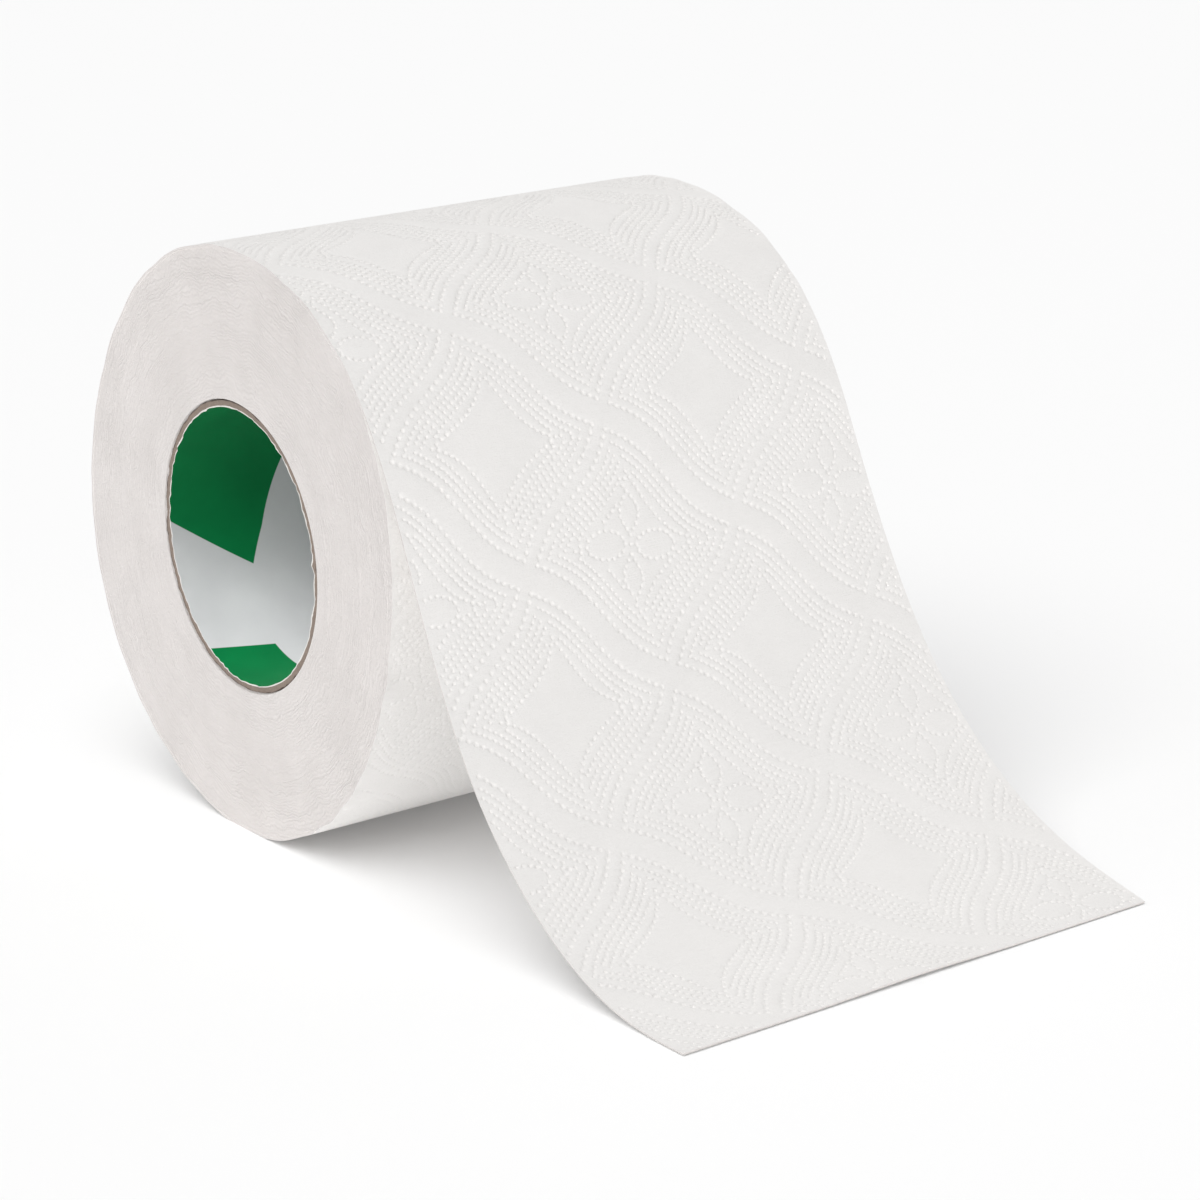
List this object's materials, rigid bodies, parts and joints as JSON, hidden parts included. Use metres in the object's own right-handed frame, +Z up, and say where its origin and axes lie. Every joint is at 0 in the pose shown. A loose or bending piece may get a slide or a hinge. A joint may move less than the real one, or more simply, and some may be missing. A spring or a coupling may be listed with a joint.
{
  "type": "toilet paper roll",
  "caption": "Embossed toilet paper wound on a board tube, lying on its side with its loose end hanging down the front and running out on the floor.",
  "frame": {"origin": "on the floor, at the middle of the flat spot under the roll", "axes": "+X along the roll's axis, towards the end away from the picture's camera; the loose end runs out towards -Y; +Z up"},
  "size_m": [0.092, 0.1733, 0.1025],
  "materials": {
    "tissue": "matt, embossed",
    "core_board": "matt"
  },
  "bodies": {
    "root": {"paper_web": "tissue", "core_tube": "core_board"}
  },
  "joints": []
}
